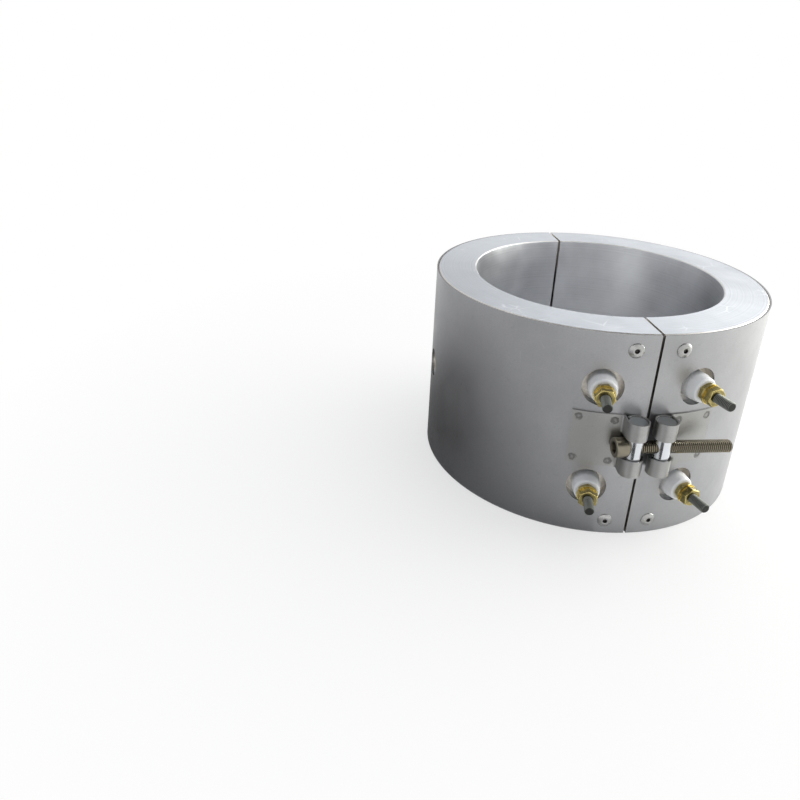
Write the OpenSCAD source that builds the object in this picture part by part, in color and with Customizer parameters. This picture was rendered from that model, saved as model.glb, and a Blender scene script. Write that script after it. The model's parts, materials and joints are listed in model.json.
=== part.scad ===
// Two-part cast aluminium band heater with a hinge at the back and one clamp screw at the front.
// +Z runs up along the bore. The origin is on the bore axis at the lower face. The front seam lies at -Y,
// the left half at -X and the right half at +X. Angles along the ring are counted from the front seam.

/* [Ring] */
// Diameter of the bore that grips the heated barrel
bore_d = 170; // [150:1:210]
// Radial thickness of the cast halves
cast_wall = 27.25; // [26:0.25:34]
// Height of the cast halves
ring_h = 140; // [130:1:190]
// Width of the seam at the clamp
front_gap = 1.6; // [1:0.1:3]
// Width of the seam at the hinge
rear_gap = 1.8; // [1.4:0.1:3]
// Chamfer on the edges of the castings
edge_break = 0.7; // [0.3:0.1:1.5]

/* [Cover] */
// Thickness of the cover sheet
cover_t = 1; // [0.8:0.1:1.5]
// Gap between a casting and its cover
cover_gap = 0.25; // [0.1:0.05:0.5]
// How far the cover stops short of each end face
cover_inset = 0.3; // [0.1:0.1:1]
// Diameter of the cover hole round the sensor bore
sensor_hole_d = 20; // [16:1:26]
// Core diameter of the threaded sensor bore
sensor_bore_d = 6.8; // [5:0.1:8.5]
// Depth of the sensor bore in the casting
sensor_bore_depth = 15; // [10:0.5:18]
// Depth of the flat seat round the sensor bore
sensor_seat_depth = 1; // [0.5:0.1:2]

/* [Heating element] */
// Outer diameter of the element sheath
sheath_d = 8; // [7:0.1:8.5]
// Wall of the element sheath
sheath_t = 0.7; // [0.5:0.1:1]
// Distance from the bore wall to the centre line of the element
element_depth = 10; // [8:0.5:11]
// Height between the two runs of an element, and between its terminals
level_pitch = 70; // [60:1:80]
// Bend radius of the element where it turns out to a terminal
front_bend_r = 12; // [11:0.5:13]
// Bend radius of the element where it turns back near the hinge
return_bend_r = 15; // [12:0.5:20]
// Distance from the hinge seam to the upright run of the element
return_clear = 13; // [10:0.5:20]
// Gap left between the sheath and the casting
cast_clear = 0.05; // [0.02:0.01:0.1]
// Outer diameter of the resistance coil
coil_d = 3.4; // [2.6:0.1:4.2]
// Diameter of the cold pin in the element's end
cold_pin_d = 2.6; // [2:0.1:3.2]
// Gap between the filling and the metal round and inside it
fill_clear = 0.03; // [0.02:0.01:0.06]

/* [Terminals] */
// Angle of the terminals from the front seam
terminal_angle = 14.9; // [14:0.1:18]
// Diameter of the terminal holes in the cover
terminal_hole_d = 24.5; // [23:0.5:27]
// Clearance of the pocket round the cover hole
pocket_clear = 0.25; // [0.1:0.05:0.5]
// Depth of a terminal pocket below the face of the cover
pocket_depth = 7; // [6:0.25:8]
// Length of sheath that stands up from the floor of a pocket
sheath_out = 3; // [2:0.25:4]
// Diameter of an insulator at its foot
insulator_d = 17.5; // [16:0.25:19]
// Diameter of an insulator at its outer end
insulator_tip_d = 16; // [14:0.25:16.5]
// Radius on the outer edge of an insulator
insulator_edge_r = 1.6; // [0.8:0.1:2]
// How far an insulator stands out of the cover
insulator_out = 6.3; // [4:0.1:9]
// Clearance of an insulator round the sheath and the stud
insulator_clear = 0.2; // [0.1:0.05:0.4]
// Diameter of the free end of a terminal stud
stud_d = 6; // [5:0.1:6.5]
// Diameter of a stud where its nuts engage
stud_flank_d = 5.35; // [4.4:0.05:5.6]
// How far a stud stands out of the cover
stud_out = 27; // [24:0.5:36]
// Chamfer on the tip of a stud
stud_chamfer = 0.7; // [0.3:0.1:1]
// Width across the flats of the terminal nuts
nut_af = 10.8; // [10:0.1:11.5]
// How far inside the flats a nut's bevel ends
nut_bevel = 0.15; // [0.05:0.05:0.4]
// Thickness of the inner nut
inner_nut_t = 3.2; // [2.5:0.1:4]
// Thickness of the outer nut
outer_nut_t = 5; // [4:0.1:6]
// Clearance of nuts and washer round the stud
nut_clear = 0.05; // [0.03:0.01:0.1]
// Outer diameter of the washer between the nuts
washer_d = 13; // [12:0.1:14]
// Thickness of the washer
washer_t = 1; // [0.8:0.1:1.5]
// How far each next pair of nuts was turned when tightened
nut_turn = 17; // [0:1:60]

/* [Rivets] */
// Distance along the cover from a seam to the rivets
rivet_side = 14.3; // [11:0.1:18]
// Distance of the rivets from the end faces
rivet_end = 10; // [8:0.5:14]
// Diameter of a rivet shank
rivet_d = 4.8; // [4:0.1:5]
// Clearance of a shank in its hole
rivet_clear = 0.1; // [0.05:0.05:0.2]
// Length of a shank under the cover face
rivet_len = 9; // [7:0.5:12]
// Diameter of a rivet flange
rivet_head_d = 9.4; // [8:0.1:10]
// Height of a rivet flange
rivet_head_h = 1.3; // [1:0.1:1.6]
// Diameter of the hole that the snapped mandrel leaves
mandrel_d = 2.7; // [2:0.1:3]
// Depth of the hole that the snapped mandrel leaves
mandrel_depth = 1.8; // [1:0.1:3]

/* [Clamp straps] */
// Height of the clamp axis above the lower face
clamp_z = 70; // [60:0.5:80]
// Thickness of the strap sheet
strap_t = 1; // [0.8:0.05:1.2]
// Height of a clamp strap
strap_h = 36.5; // [34:0.5:40]
// Length of a strap along the cover, from its bend to its end
strap_len = 29; // [24:0.5:34]
// Gap between a welded strap and the cover
weld_gap = 0.05; // [0.02:0.01:0.1]
// Inner radius of the bend at the foot of a strap
strap_bend_r = 1.2; // [0.8:0.1:1.6]
// Slit between the end of a roll and the strap
roll_slit = 0.3; // [0.2:0.1:0.6]
// Gap between a rolled strap and the cover under it
roll_lift = 0.3; // [0.2:0.1:0.6]
// Height of the window that the screw passes through
window_h = 13.4; // [12:0.1:14]
// Height of the window's floor above the strap plate
window_step = 0.1; // [0.05:0.05:0.2]
// Diameter of the relief for the screw head
head_window_d = 14.8; // [14:0.1:16]
// Diameter of a spot weld mark
weld_d = 5.5; // [4:0.1:6.5]
// Depth of a spot weld mark
weld_depth = 0.2; // [0.1:0.05:0.4]
// Distance of the spot welds from the edges of a strap
weld_inset = 4; // [3.5:0.1:6]

/* [Clamp barrels and screw] */
// Distance between the two barrels, centre to centre
barrel_pitch = 17.5; // [16.5:0.1:20]
// Diameter of a barrel in its rolled strap
barrel_d = 11.4; // [11:0.1:12]
// Clearance between a barrel and its roll
barrel_clear = 0.08; // [0.03:0.01:0.1]
// Diameter of the turned waist of a barrel
waist_d = 10.6; // [10:0.1:10.9]
// Height of the turned waist
waist_h = 14.6; // [14.2:0.1:16]
// How far a barrel stops short of the ends of its roll
barrel_inset = 0.5; // [0.2:0.1:1.5]
// Chamfer on the ends of a barrel
barrel_chamfer = 0.5; // [0.2:0.1:0.8]
// Diameter of the clamp screw over its thread
screw_d = 8; // [7.5:0.1:8.2]
// Length of the clamp screw under its head
screw_len = 65; // [60:1:80]
// Clearance of the screw in the plain barrel
screw_clear = 0.2; // [0.1:0.05:0.3]
// Clearance of the screw in the threaded barrel
thread_clear = 0.08; // [0.03:0.01:0.1]
// Diameter of the screw head
screw_head_d = 12.4; // [12:0.1:13]
// Height of the screw head
screw_head_h = 7.6; // [6:0.1:9]
// Chamfer on the rim of the screw head
screw_head_chamfer = 0.8; // [0.4:0.1:1.2]
// Width across the flats of the socket
socket_af = 6; // [5:0.1:6.5]
// Depth of the socket
socket_depth = 4; // [3:0.1:5]
// Chamfer on the tip of the screw
screw_tip_chamfer = 1.2; // [0.8:0.1:1.6]
// Depth of the flat that the head bears on
seat_depth = 0.6; // [0.4:0.1:0.8]
// Play between the head and its flat
head_play = 0.05; // [0.02:0.01:0.2]

/* [Hinge] */
// Diameter of the hinge pin
hinge_pin_d = 6; // [5:0.1:8]
// Thickness of the hinge leaves
hinge_t = 1.2; // [1:0.05:1.6]
// Height of the hinge
hinge_h = 70; // [60:1:90]
// Height of the two end knuckles
end_knuckle_h = 17.5; // [15:0.5:22]
// Gap between neighbouring knuckles
knuckle_gap = 0.3; // [0.2:0.1:0.6]
// Clearance between the pin and the knuckles
hinge_clear = 0.06; // [0.03:0.01:0.1]
// Length of a leaf along the cover, from the seam to its end
leaf_len = 40; // [34:1:50]
// Sweep of a knuckle round the pin
knuckle_sweep = 300; // [270:5:310]
// Setback of a leaf beside the other leaf's knuckle
leaf_notch = 0.6; // [0.4:0.1:1]
// Diameter of the peened heads of the hinge pin
pin_head_d = 8; // [7.6:0.1:8.4]
// Height of the peened heads of the hinge pin
pin_head_h = 1.6; // [1:0.1:2.5]
// Diameter of the flat on a peened head
pin_head_flat_d = 4; // [3:0.1:5]

/* [Hidden] */
$fn = 128;
// Names of the two sides and of the two levels
LEFT = -1;
RIGHT = 1;
TOP = 1;
BOTTOM = -1;
// Overrun of a cutting tool past the face that it cuts
over = 1;
// Bends of a rod lap over its straight parts and are a little thicker, so that the rod is one solid
bend_lap = 0.5;
bend_step = 0.1;
// Rounds a length to a thousandth, so that the stretches of a bent sheet meet face to face
function snap(length) = round(length * 1000) / 1000;

// Radii of the castings and covers
bore_r = bore_d / 2;
cast_r = bore_r + cast_wall;
cover_in_r = cast_r + cover_gap;
cover_r = cover_in_r + cover_t;
mid_z = ring_h / 2;

// Element path: two level runs joined by an upright run near the hinge
element_r = bore_r + element_depth;
front_bend_centre = element_r + front_bend_r;
front_bend_a = asin(front_bend_r / front_bend_centre);
run_start_a = terminal_angle + front_bend_a;
terminal_run_r = front_bend_centre * cos(front_bend_a);
upright_r = sqrt(element_r * element_r + return_bend_r * return_bend_r);
run_end_a = 180 - asin(return_clear / upright_r) - atan(return_bend_r / element_r);
level_z = level_pitch / 2;
upright_h = level_pitch - 2 * return_bend_r;

// Terminal stack, as distances from the bore axis
pocket_floor_r = cover_r - pocket_depth;
sheath_end_r = pocket_floor_r + sheath_out;
insulator_end_r = cover_r + insulator_out;
inner_nut_end_r = insulator_end_r + inner_nut_t;
washer_end_r = inner_nut_end_r + washer_t;
outer_nut_end_r = washer_end_r + outer_nut_t;
stud_end_r = cover_r + stud_out;

// Rivet places
rivet_a = rivet_side / cover_r * 180 / PI;

// Clamp: the roll is carried by an upright web on a bend, and the plate beyond the bend hugs the cover
plate_r = cover_r + weld_gap;
roll_in_r = barrel_d / 2 + barrel_clear;
roll_r = roll_in_r + strap_t;
barrel_x = barrel_pitch / 2;
web_offset = strap_bend_r + roll_r;
roll_centre_x = snap(sqrt(pow(cover_r + roll_lift + roll_r, 2) - web_offset * web_offset));
barrel_axis_r = sqrt(roll_centre_x * roll_centre_x + web_offset * web_offset);
barrel_y = sqrt(barrel_axis_r * barrel_axis_r - barrel_x * barrel_x);
bend_a = asin(barrel_x / barrel_axis_r) + asin(web_offset / barrel_axis_r);
bend_centre_r = plate_r + strap_t + strap_bend_r;
plate_a = strap_len / plate_r * 180 / PI;
roll_sweep = 360 - acos((roll_in_r - roll_slit) / roll_r);
window_floor_r = plate_r + strap_t + window_step;
weld_a = weld_inset / plate_r * 180 / PI;
head_seat_x = -(barrel_x + waist_d / 2 - seat_depth);

// Hinge: the axis stands behind the covers on the plane of the seams
knuckle_in_r = hinge_pin_d / 2 + hinge_clear;
knuckle_r = knuckle_in_r + hinge_t;
hinge_y = plate_r + knuckle_r;
hinge_z = mid_z - hinge_h / 2;
leaf_a = leaf_len / plate_r * 180 / PI;
notch_a = asin((knuckle_r + leaf_notch) / plate_r);
end_knuckles = [[hinge_z, end_knuckle_h], [hinge_z + hinge_h - end_knuckle_h, end_knuckle_h]];
mid_knuckle = [[hinge_z + end_knuckle_h + knuckle_gap, hinge_h - 2 * (end_knuckle_h + knuckle_gap)]];

// Puts a piece drawn for the right half on the named side
module on_side(side) {
    mirror([side == LEFT ? 1 : 0, 0, 0]) children();
}

// Turns a piece so that its +X axis points out at an angle from the front seam
module at_angle(a) {
    rotate([0, 0, a - 90]) children();
}

// Turns a piece so that its +Z axis points out at an angle from the front seam, at a height
module outward(a, z) {
    at_angle(a) translate([0, 0, z]) rotate([0, 90, 0]) children();
}

// Same place for a terminal of the right half, at the upper or the lower level
module at_terminal(level) {
    outward(terminal_angle, mid_z + level * level_z) children();
}

// Space taken out of a full ring to leave the right half
module seam_cut() {
    size = 2 * cover_r;
    translate([front_gap / 2 - size, -size, -over]) cube([size, size, ring_h + 2 * over]);
    translate([rear_gap / 2 - size, 0, -over]) cube([size, size, ring_h + 2 * over]);
}

// Sheet sector about the Z axis, from one angle through a sweep
module sector(r, t, h, from, sweep) {
    rotate_extrude(angle = sweep, start = from) translate([r, 0]) square([t, h]);
}

// Bend of a rod, lapped over the straight rods at its ends by the given angles
module rod_bend(r, bend_r, from, sweep, lap_before, lap_after) {
    rotate_extrude(angle = sweep + lap_before + lap_after, start = from - lap_before)
        translate([bend_r, 0]) circle(r + bend_step);
}

// Element between its two front bends, as a rod: two level runs, two bends and the upright run
module element_loop(r) {
    lap = bend_lap / return_bend_r * 180 / PI;
    for (level = [TOP, BOTTOM]) {
        translate([0, 0, mid_z + level * level_z])
            rotate_extrude(angle = run_end_a - run_start_a, start = run_start_a - 90)
            translate([element_r, 0]) circle(r);
        at_angle(run_end_a) translate([element_r, 0, mid_z + level * (level_z - return_bend_r)])
            rotate([0, level * -90, 0]) rod_bend(r, return_bend_r, 0, 90, lap, lap);
    }
    at_angle(run_end_a) translate([element_r, return_bend_r, mid_z - upright_h / 2])
        cylinder(r = r, h = upright_h);
}

// Bend out to a terminal and the straight end, up to a distance from the bore axis
module terminal_end(r, level, end_r, run_lap) {
    lap = bend_lap / front_bend_r * 180 / PI;
    at_angle(run_start_a) translate([front_bend_centre, 0, mid_z + level * level_z])
        rod_bend(r, front_bend_r, 180, 90 - front_bend_a, run_lap, lap);
    at_terminal(level) translate([0, 0, terminal_run_r]) cylinder(r = r, h = end_r - terminal_run_r);
}

// Whole element path as a solid rod
module element_path(r, end_r) {
    element_loop(r);
    for (level = [TOP, BOTTOM]) terminal_end(r, level, end_r, bend_lap / front_bend_r * 180 / PI);
}

module cast_half(side) {
    color([0.72, 0.75, 0.79]) on_side(side) difference() {
        rotate([0, 0, -90]) rotate_extrude(angle = 180) polygon([
            [bore_r + edge_break, 0], [cast_r - edge_break, 0], [cast_r, edge_break],
            [cast_r, ring_h - edge_break], [cast_r - edge_break, ring_h],
            [bore_r + edge_break, ring_h], [bore_r, ring_h - edge_break], [bore_r, edge_break]]);
        seam_cut();
        element_path(sheath_d / 2 + cast_clear, cast_r);
        for (level = [TOP, BOTTOM]) {
            at_terminal(level) translate([0, 0, pocket_floor_r])
                cylinder(d = terminal_hole_d + 2 * pocket_clear, h = pocket_depth);
            for (a = [rivet_a, 180 - rivet_a])
                outward(a, mid_z + level * (mid_z - rivet_end)) translate([0, 0, cover_r - rivet_len - over])
                    cylinder(d = rivet_d + 2 * rivet_clear, h = rivet_len + over);
        }
        if (side == LEFT) sensor_cut();
    }
}

// Seat and blind bore for the temperature sensor, in the middle of the left half
module sensor_cut() {
    outward(90, mid_z) {
        translate([0, 0, cast_r - sensor_bore_depth])
            cylinder(d = sensor_bore_d, h = sensor_bore_depth + over);
        translate([0, 0, cast_r - sensor_seat_depth])
            cylinder(d = sensor_hole_d, h = sensor_seat_depth + over);
    }
}

module cover(side) {
    color([0.66, 0.66, 0.64]) on_side(side) difference() {
        translate([0, 0, cover_inset])
            sector(cover_in_r, cover_t, ring_h - 2 * cover_inset, -90, 180);
        seam_cut();
        for (level = [TOP, BOTTOM]) {
            at_terminal(level) translate([0, 0, pocket_floor_r])
                cylinder(d = terminal_hole_d, h = pocket_depth + over);
            for (a = [rivet_a, 180 - rivet_a])
                outward(a, mid_z + level * (mid_z - rivet_end)) translate([0, 0, cast_r])
                    cylinder(d = rivet_d + 2 * rivet_clear, h = cover_t + over);
        }
        if (side == LEFT) outward(90, mid_z) translate([0, 0, cast_r - sensor_seat_depth])
            cylinder(d = sensor_hole_d, h = sensor_seat_depth + cover_gap + cover_t + over);
    }
}

module element_sheath(side) {
    color([0.45, 0.44, 0.43]) on_side(side) difference() {
        element_path(sheath_d / 2, sheath_end_r);
        element_path(sheath_d / 2 - sheath_t, sheath_end_r + over);
    }
}

module element_fill(side) {
    color([0.93, 0.92, 0.88]) on_side(side) difference() {
        element_path(sheath_d / 2 - sheath_t - fill_clear, sheath_end_r);
        element_loop(coil_d / 2 + fill_clear);
        for (level = [TOP, BOTTOM]) terminal_end(cold_pin_d / 2 + fill_clear, level, sheath_end_r + over, 0);
    }
}

module resistance_coil(side) {
    color([0.5, 0.45, 0.4]) on_side(side) element_loop(coil_d / 2);
}

module insulator(side, level) {
    foot_r = insulator_d / 2;
    tip_r = insulator_tip_d / 2;
    length = insulator_end_r - pocket_floor_r;
    color([0.93, 0.94, 0.92]) on_side(side) at_terminal(level) translate([0, 0, pocket_floor_r])
        difference() {
            union() {
                cylinder(r = foot_r, h = pocket_depth);
                translate([0, 0, pocket_depth])
                    cylinder(r1 = foot_r, r2 = tip_r, h = length - pocket_depth - insulator_edge_r);
                translate([0, 0, length - insulator_edge_r]) rotate_extrude() {
                    square([tip_r - insulator_edge_r, insulator_edge_r]);
                    translate([tip_r - insulator_edge_r, 0]) intersection() {
                        circle(insulator_edge_r);
                        square(insulator_edge_r);
                    }
                }
            }
            translate([0, 0, -over]) cylinder(r = stud_flank_d / 2 + insulator_clear, h = length + 2 * over);
            translate([0, 0, -over])
                cylinder(r = sheath_d / 2 + insulator_clear, h = sheath_out + insulator_clear + over);
        }
}

// Threaded stud outside the insulator, with the cold pin that runs into the element
module stud(side, level) {
    free_r = stud_d / 2;
    color([0.32, 0.34, 0.31]) on_side(side) {
        at_terminal(level) {
            translate([0, 0, sheath_end_r]) cylinder(d = stud_flank_d, h = outer_nut_end_r - sheath_end_r);
            translate([0, 0, outer_nut_end_r])
                cylinder(r = free_r, h = stud_end_r - stud_chamfer - outer_nut_end_r);
            translate([0, 0, stud_end_r - stud_chamfer])
                cylinder(r1 = free_r, r2 = free_r - stud_chamfer, h = stud_chamfer);
        }
        terminal_end(cold_pin_d / 2, level, sheath_end_r + over, 0);
    }
}

// Hexagon nut with its corners turned off on the outer face
module hex_nut(t) {
    corner_r = nut_af / 2 / cos(30);
    bevel_r = nut_af / 2 - nut_bevel;
    difference() {
        intersection() {
            cylinder(r = corner_r, h = t, $fn = 6);
            rotate_extrude() polygon([[0, 0], [bevel_r, 0], [corner_r, (corner_r - bevel_r) / 2],
                [corner_r, t - (corner_r - bevel_r) / 2], [bevel_r, t], [0, t]]);
        }
        translate([0, 0, -over]) cylinder(r = stud_flank_d / 2 + nut_clear, h = t + 2 * over);
    }
}

// Each pair of nuts stopped at its own angle
function turned(side, level) = nut_turn * ((side + 1) + (level + 1) / 2);

module inner_nut(side, level) {
    color([0.78, 0.62, 0.25]) on_side(side) at_terminal(level) translate([0, 0, insulator_end_r])
        rotate([0, 0, turned(side, level)]) hex_nut(inner_nut_t);
}

module washer(side, level) {
    color([0.85, 0.7, 0.32]) on_side(side) at_terminal(level) translate([0, 0, inner_nut_end_r])
        difference() {
            cylinder(d = washer_d, h = washer_t);
            translate([0, 0, -over]) cylinder(r = stud_flank_d / 2 + nut_clear, h = washer_t + 2 * over);
        }
}

module outer_nut(side, level) {
    color([0.78, 0.62, 0.25]) on_side(side) at_terminal(level) translate([0, 0, washer_end_r])
        rotate([0, 0, 2 * turned(side, level)]) hex_nut(outer_nut_t);
}

// Blind rivet: shank, low domed flange and the hole of the snapped mandrel
module rivet(side, a, level) {
    dome_r = (rivet_head_d * rivet_head_d / 4 + rivet_head_h * rivet_head_h) / (2 * rivet_head_h);
    color([0.5, 0.5, 0.49]) on_side(side) outward(a, mid_z + level * (mid_z - rivet_end))
        difference() {
            union() {
                translate([0, 0, cover_r - rivet_len]) cylinder(d = rivet_d, h = rivet_len);
                intersection() {
                    translate([0, 0, cover_r + rivet_head_h - dome_r]) sphere(dome_r);
                    translate([0, 0, cover_r]) cylinder(d = rivet_head_d + over, h = 2 * rivet_head_h);
                }
            }
            translate([0, 0, cover_r + rivet_head_h - mandrel_depth])
                cylinder(d = mandrel_d, h = mandrel_depth + over);
        }
}

// Four spot weld marks on a plate of a thickness that starts at one angle and spans another
module weld_marks(from, span, low_z, h, t) {
    for (a = [from + weld_a, from + span - weld_a], z = [low_z + weld_inset, low_z + h - weld_inset])
        outward(a, z) translate([0, 0, plate_r + t - weld_depth]) cylinder(d = weld_d, h = over);
}

// Sheet strap: a plate on the cover, a bend, an upright web and a roll round the barrel
module clamp_strap(side) {
    low_z = clamp_z - strap_h / 2;
    color([0.68, 0.67, 0.65]) on_side(side) difference() {
        at_angle(bend_a) translate([0, 0, low_z]) {
            sector(plate_r, strap_t, strap_h, 0, plate_a);
            translate([bend_centre_r, 0, 0]) sector(strap_bend_r, strap_t, strap_h, 180, 90);
            translate([bend_centre_r, -strap_bend_r - strap_t, 0])
                cube([roll_centre_x - bend_centre_r, strap_t, strap_h]);
            translate([roll_centre_x, -web_offset, 0])
                sector(roll_in_r, strap_t, strap_h, 90, -roll_sweep);
        }
        strap_window();
        head_relief(side == LEFT ? 1 : -1);
        weld_marks(bend_a, plate_a, low_z, strap_h, strap_t);
    }
}

// Slot across the roll and the web for the screw
module strap_window() {
    reach = 2 * roll_r + over;
    at_angle(bend_a) translate([0, 0, clamp_z - window_h / 2]) {
        translate([window_floor_r, -web_offset - roll_r - over, 0])
            cube([reach, web_offset + roll_r + over, window_h]);
        translate([cover_r - over, -web_offset - roll_r - over, 0])
            cube([reach, 2 * roll_r - strap_t + over - roll_slit, window_h]);
    }
}

// Round relief for the screw head, on the side of the barrel that the direction names
module head_relief(direction) {
    difference() {
        translate([barrel_x, -barrel_y, clamp_z]) rotate([0, direction * 90, 0])
            cylinder(d = head_window_d, h = 2 * web_offset);
        cylinder(r = window_floor_r, h = ring_h);
    }
}

// Barrel with a turned waist, standing on the clamp axis
module barrel() {
    r = barrel_d / 2;
    waist_r = waist_d / 2;
    half_h = strap_h / 2 - barrel_inset;
    half_waist = waist_h / 2;
    step = r - waist_r;
    rotate_extrude() polygon([[0, -half_h], [r - barrel_chamfer, -half_h], [r, -half_h + barrel_chamfer],
        [r, -half_waist - step], [waist_r, -half_waist], [waist_r, half_waist], [r, half_waist + step],
        [r, half_h - barrel_chamfer], [r - barrel_chamfer, half_h], [0, half_h]]);
}

// Plain barrel under the head of the screw
module head_barrel() {
    color([0.86, 0.88, 0.9]) translate([0, -barrel_y, clamp_z]) difference() {
        translate([-barrel_x, 0, 0]) barrel();
        translate([-barrel_x - barrel_d, 0, 0]) rotate([0, 90, 0])
            cylinder(d = screw_d + 2 * screw_clear, h = 2 * barrel_d);
        translate([head_seat_x - barrel_d, 0, 0]) rotate([0, 90, 0])
            cylinder(d = waist_h, h = barrel_d);
    }
}

// Threaded barrel that draws the right half in
module nut_barrel() {
    color([0.86, 0.88, 0.9]) translate([barrel_x, -barrel_y, clamp_z]) difference() {
        barrel();
        translate([-barrel_d, 0, 0]) rotate([0, 90, 0])
            cylinder(d = screw_d + 2 * thread_clear, h = 2 * barrel_d);
    }
}

// Socket head screw lying along +X through both barrels
module clamp_screw() {
    r = screw_d / 2;
    head_r = screw_head_d / 2;
    color([0.7, 0.67, 0.58]) translate([head_seat_x - head_play, -barrel_y, clamp_z]) rotate([0, 90, 0])
        difference() {
            rotate_extrude() polygon([[0, -screw_head_h], [head_r - screw_head_chamfer, -screw_head_h],
                [head_r, -screw_head_h + screw_head_chamfer], [head_r, 0], [r, 0],
                [r, screw_len - screw_tip_chamfer], [r - screw_tip_chamfer, screw_len], [0, screw_len]]);
            translate([0, 0, -screw_head_h - over])
                cylinder(r = socket_af / 2 / cos(30), h = socket_depth + over, $fn = 6);
        }
}

// Rolled hinge leaf: the left one has the two end knuckles, the right one the middle knuckle
module hinge_leaf(side) {
    own = side == LEFT ? end_knuckles : mid_knuckle;
    other = side == LEFT ? mid_knuckle : end_knuckles;
    color([0.68, 0.67, 0.65]) on_side(side) difference() {
        union() {
            translate([0, 0, hinge_z]) sector(plate_r, hinge_t, hinge_h, 90, -leaf_a);
            for (k = own) translate([0, hinge_y, k[0]])
                sector(knuckle_in_r, hinge_t, k[1], 270, -knuckle_sweep);
        }
        for (k = other) translate([-over, plate_r - over, k[0] - knuckle_gap])
            cube([knuckle_r + leaf_notch + over, 2 * hinge_t + over, k[1] + 2 * knuckle_gap]);
        weld_marks(180 - leaf_a, leaf_a - notch_a, hinge_z, hinge_h, hinge_t);
    }
}

module hinge_pin() {
    r = hinge_pin_d / 2;
    head_r = pin_head_d / 2;
    flat_r = pin_head_flat_d / 2;
    top = hinge_h + knuckle_gap;
    color([0.6, 0.6, 0.6]) translate([0, hinge_y, hinge_z]) rotate_extrude() polygon([
        [0, -knuckle_gap - pin_head_h], [flat_r, -knuckle_gap - pin_head_h],
        [head_r, -knuckle_gap - pin_head_h / 2], [head_r, -knuckle_gap], [r, -knuckle_gap],
        [r, top], [head_r, top], [head_r, top + pin_head_h / 2], [flat_r, top + pin_head_h],
        [0, top + pin_head_h]]);
}

cast_half(LEFT);  // cast_half_left
cast_half(RIGHT);  // cast_half_right
cover(LEFT);  // cover_left
cover(RIGHT);  // cover_right
element_sheath(LEFT);  // element_sheath_left
element_sheath(RIGHT);  // element_sheath_right
element_fill(LEFT);  // element_fill_left
element_fill(RIGHT);  // element_fill_right
resistance_coil(LEFT);  // resistance_coil_left
resistance_coil(RIGHT);  // resistance_coil_right
insulator(LEFT, TOP);  // insulator_left_top
insulator(LEFT, BOTTOM);  // insulator_left_bottom
insulator(RIGHT, TOP);  // insulator_right_top
insulator(RIGHT, BOTTOM);  // insulator_right_bottom
stud(LEFT, TOP);  // stud_left_top
stud(LEFT, BOTTOM);  // stud_left_bottom
stud(RIGHT, TOP);  // stud_right_top
stud(RIGHT, BOTTOM);  // stud_right_bottom
inner_nut(LEFT, TOP);  // inner_nut_left_top
inner_nut(LEFT, BOTTOM);  // inner_nut_left_bottom
inner_nut(RIGHT, TOP);  // inner_nut_right_top
inner_nut(RIGHT, BOTTOM);  // inner_nut_right_bottom
washer(LEFT, TOP);  // washer_left_top
washer(LEFT, BOTTOM);  // washer_left_bottom
washer(RIGHT, TOP);  // washer_right_top
washer(RIGHT, BOTTOM);  // washer_right_bottom
outer_nut(LEFT, TOP);  // outer_nut_left_top
outer_nut(LEFT, BOTTOM);  // outer_nut_left_bottom
outer_nut(RIGHT, TOP);  // outer_nut_right_top
outer_nut(RIGHT, BOTTOM);  // outer_nut_right_bottom
rivet(LEFT, rivet_a, TOP);  // rivet_front_left_top
rivet(LEFT, rivet_a, BOTTOM);  // rivet_front_left_bottom
rivet(RIGHT, rivet_a, TOP);  // rivet_front_right_top
rivet(RIGHT, rivet_a, BOTTOM);  // rivet_front_right_bottom
rivet(LEFT, 180 - rivet_a, TOP);  // rivet_rear_left_top
rivet(LEFT, 180 - rivet_a, BOTTOM);  // rivet_rear_left_bottom
rivet(RIGHT, 180 - rivet_a, TOP);  // rivet_rear_right_top
rivet(RIGHT, 180 - rivet_a, BOTTOM);  // rivet_rear_right_bottom
clamp_strap(LEFT);  // clamp_strap_left
clamp_strap(RIGHT);  // clamp_strap_right
head_barrel();
nut_barrel();
clamp_screw();
hinge_leaf(LEFT);  // hinge_leaf_left
hinge_leaf(RIGHT);  // hinge_leaf_right
hinge_pin();
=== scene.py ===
"""Looks of a cast aluminium band heater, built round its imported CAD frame.

The heater stands on its lower face. +Z runs up along the bore, the front seam and its clamp lie at
-Y, the left half lies at -X and the right half at +X. Angles along the ring are counted in degrees from
the front seam, positive towards the right half. Lengths are in metres.
"""

import json
import logging
import math
from abc import ABC, abstractmethod
from contextlib import contextmanager
from dataclasses import dataclass
from enum import Enum
from itertools import product
from typing import Iterable, Iterator, Optional, Sequence

import bpy
from mathutils import Matrix, Vector

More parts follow.
